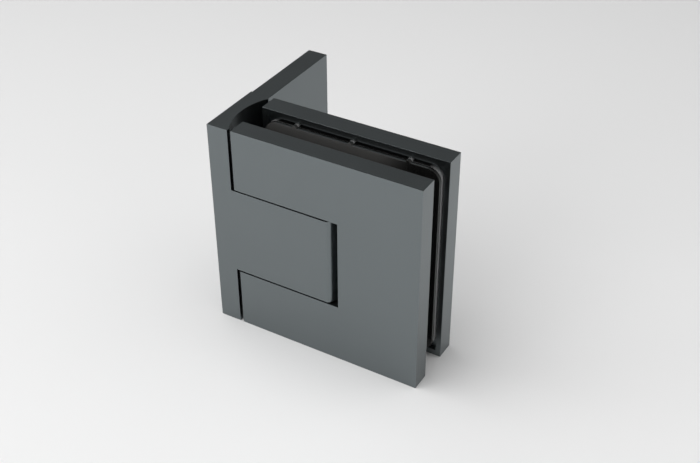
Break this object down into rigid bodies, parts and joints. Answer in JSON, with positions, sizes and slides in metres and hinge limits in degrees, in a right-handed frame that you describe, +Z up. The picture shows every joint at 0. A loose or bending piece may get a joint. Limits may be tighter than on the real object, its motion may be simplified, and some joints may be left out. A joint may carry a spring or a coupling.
{
  "type": "glass door hinge",
  "caption": "Square wall-to-glass shower door hinge: an offset wall flange with a pivot knuckle, two notched clamp plates with black gaskets, and a spring detent inside.",
  "frame": {"origin": "on the wall face, at mid-height, in the middle plane of the closed glass, which is also the plane of the pivot axis", "axes": "+X runs from the wall along the closed door, +Y runs across the glass towards the side with the wall flange, +Z is up along the pivot axis"},
  "size_m": [0.09, 0.0706, 0.09],
  "materials": {
    "gunmetal": "satin gunmetal coating on brass",
    "gasket": "smooth moulded black",
    "clear_vinyl": "clear moulded vinyl",
    "steel": "plain machined",
    "screw_black": "satin dark coating",
    "acetal": "natural off-white"
  },
  "bodies": {
    "wall": {"wall_plate": "gunmetal", "upper_bush": "acetal", "lower_bush": "acetal", "upper_washer": "acetal", "upper_spring": "steel", "lower_spring": "steel", "upper_plug": "steel", "lower_plug": "steel"},
    "upper_pad_body": {"upper_pad": "steel"},
    "lower_pad_body": {"lower_pad": "steel"},
    "leaf": {"front_plate": "gunmetal", "rear_plate": "gunmetal", "front_gasket": "gasket", "rear_gasket": "gasket", "pivot_pin": "steel", "pin_set_screws": "steel", "clamp_screws": "screw_black", "glass_sleeves": "acetal", "lower_washer": "acetal", "front_base_gasket": "clear_vinyl", "rear_base_gasket": "clear_vinyl"}
  },
  "joints": [
    {"name": "door_swing", "type": "hinge", "parent": "wall", "child": "leaf", "pos_m": [0.0315, 0, 0], "axis": [0, 0, 1], "range_deg": [-90, 90]},
    {"name": "upper_pad_slide", "type": "slide", "parent": "wall", "child": "upper_pad_body", "axis": [1, 0, 0], "range_m": [0, 0.0007]},
    {"name": "lower_pad_slide", "type": "slide", "parent": "wall", "child": "lower_pad_body", "axis": [1, 0, 0], "range_m": [0, 0.0007]}
  ],
  "couplings": [
    {"joint": "lower_pad_slide", "follows": "upper_pad_slide", "ratio": 1}
  ]
}
